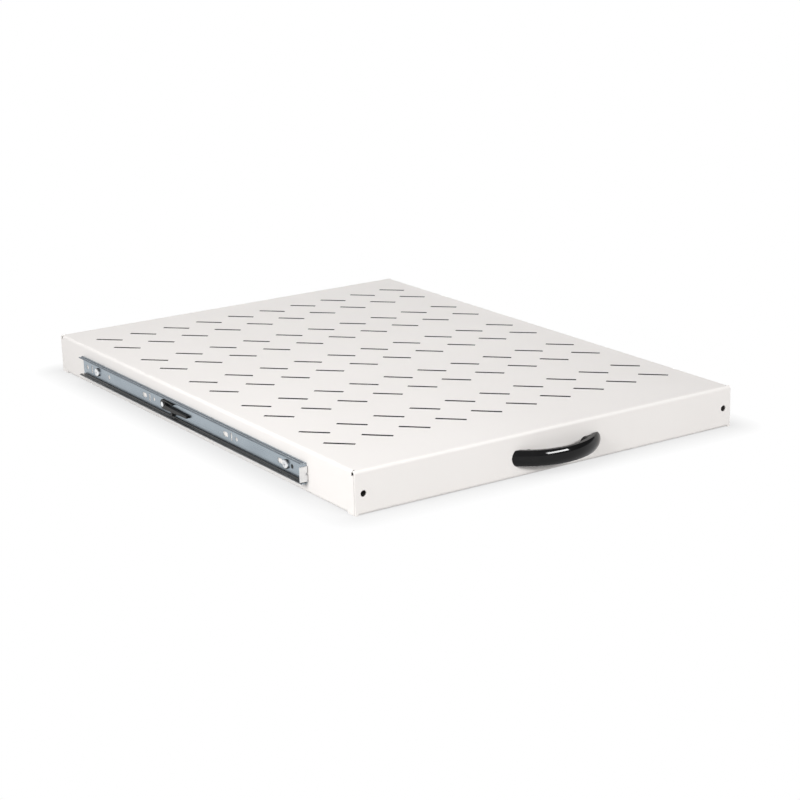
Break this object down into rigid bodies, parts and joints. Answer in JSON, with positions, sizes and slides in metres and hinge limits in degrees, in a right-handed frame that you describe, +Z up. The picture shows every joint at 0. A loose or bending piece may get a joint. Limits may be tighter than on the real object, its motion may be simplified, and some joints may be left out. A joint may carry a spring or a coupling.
{
  "type": "sliding rack shelf",
  "caption": "Flat slotted steel shelf for a 19-inch rack, an inverted folded tray with a bow handle and the shelf halves of two ball-bearing slides with release levers.",
  "frame": {"origin": "under the middle of the whole shelf, handle included, on the plane that the tray's lower rim rests on", "axes": "+Y from the handle to the rear, along the slides; +Z up out of the deck; +X to the right seen from the front"},
  "size_m": [0.4372, 0.612, 0.04],
  "materials": {
    "powder_coat": "satin fine-texture powder coat, very light grey",
    "zinc_rail": "bright zinc plate, drawn along the rail",
    "zinc_fastener": "bright zinc plate",
    "handle_plastic": "gloss moulded black",
    "lever_plastic": "satin moulded black"
  },
  "bodies": {
    "shelf": {"tray": "powder_coat", "handle": "handle_plastic", "left_rail": "zinc_rail", "right_rail": "zinc_rail", "left_front_rail_screw": "zinc_fastener", "left_front_rail_washer": "zinc_fastener", "left_front_rail_nut": "zinc_fastener", "left_rear_rail_screw": "zinc_fastener", "left_rear_rail_washer": "zinc_fastener", "left_rear_rail_nut": "zinc_fastener", "right_front_rail_screw": "zinc_fastener", "right_front_rail_washer": "zinc_fastener", "right_front_rail_nut": "zinc_fastener", "right_rear_rail_screw": "zinc_fastener", "right_rear_rail_washer": "zinc_fastener", "right_rear_rail_nut": "zinc_fastener", "left_handle_screw": "zinc_fastener", "left_handle_washer": "zinc_fastener", "right_handle_screw": "zinc_fastener", "right_handle_washer": "zinc_fastener", "left_lever_rivet": "zinc_fastener", "right_lever_rivet": "zinc_fastener"},
    "left_lever": {"left_release_lever": "lever_plastic"},
    "right_lever": {"right_release_lever": "lever_plastic"}
  },
  "joints": [
    {"name": "left_lever_pivot", "type": "hinge", "parent": "shelf", "child": "left_lever", "pos_m": [-0.21285, 0.0615, 0.0199], "axis": [-1, 0, 0], "range_deg": [0, 6], "stiffness_Nm_per_rad": 0.3},
    {"name": "right_lever_pivot", "type": "hinge", "parent": "shelf", "child": "right_lever", "pos_m": [0.21285, 0.0615, 0.0171], "axis": [1, 0, 0], "range_deg": [0, 6], "stiffness_Nm_per_rad": 0.3}
  ]
}
